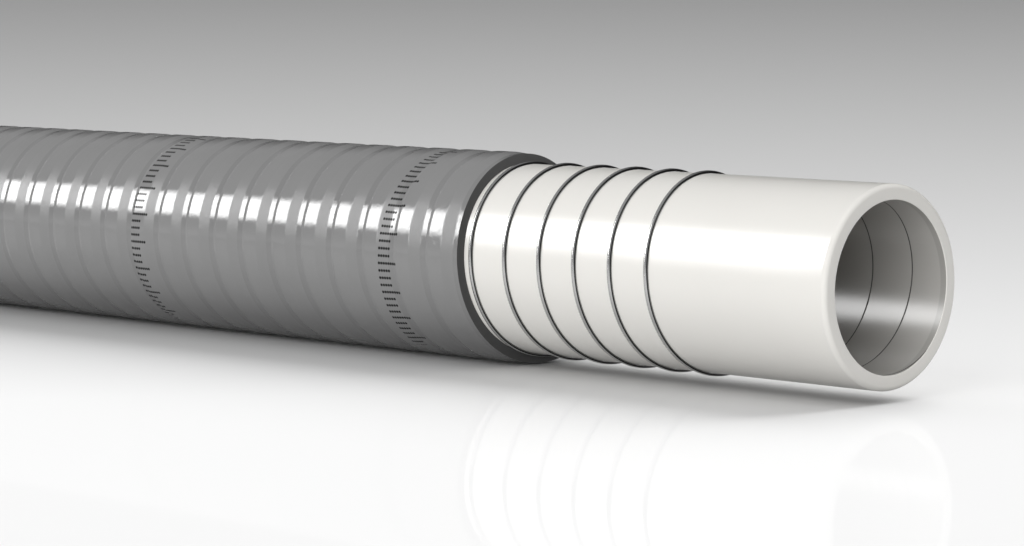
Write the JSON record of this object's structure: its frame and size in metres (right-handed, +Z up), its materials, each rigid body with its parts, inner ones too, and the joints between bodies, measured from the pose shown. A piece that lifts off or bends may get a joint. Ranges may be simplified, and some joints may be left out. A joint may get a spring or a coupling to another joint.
{
  "type": "pvc hose",
  "caption": "Length of wire-reinforced PVC suction hose, cut back in steps: a ribbed grey cover, a helical steel wire and a smooth white liner with an open bore.",
  "frame": {"origin": "on the ground under the middle of the hose", "axes": "+X along the hose towards its bare mouth, +Z up, as the hose lies"},
  "size_m": [0.336, 0.0504, 0.0504],
  "materials": {
    "liner_pvc": "smooth white flexible PVC",
    "steel_wire": "bright drawn steel wire",
    "cover_pvc": "semi-gloss grey PVC with low helical ribs"
  },
  "bodies": {
    "root": {"inner_tube": "liner_pvc", "wire_helix": "steel_wire", "outer_cover": "cover_pvc"}
  },
  "joints": []
}
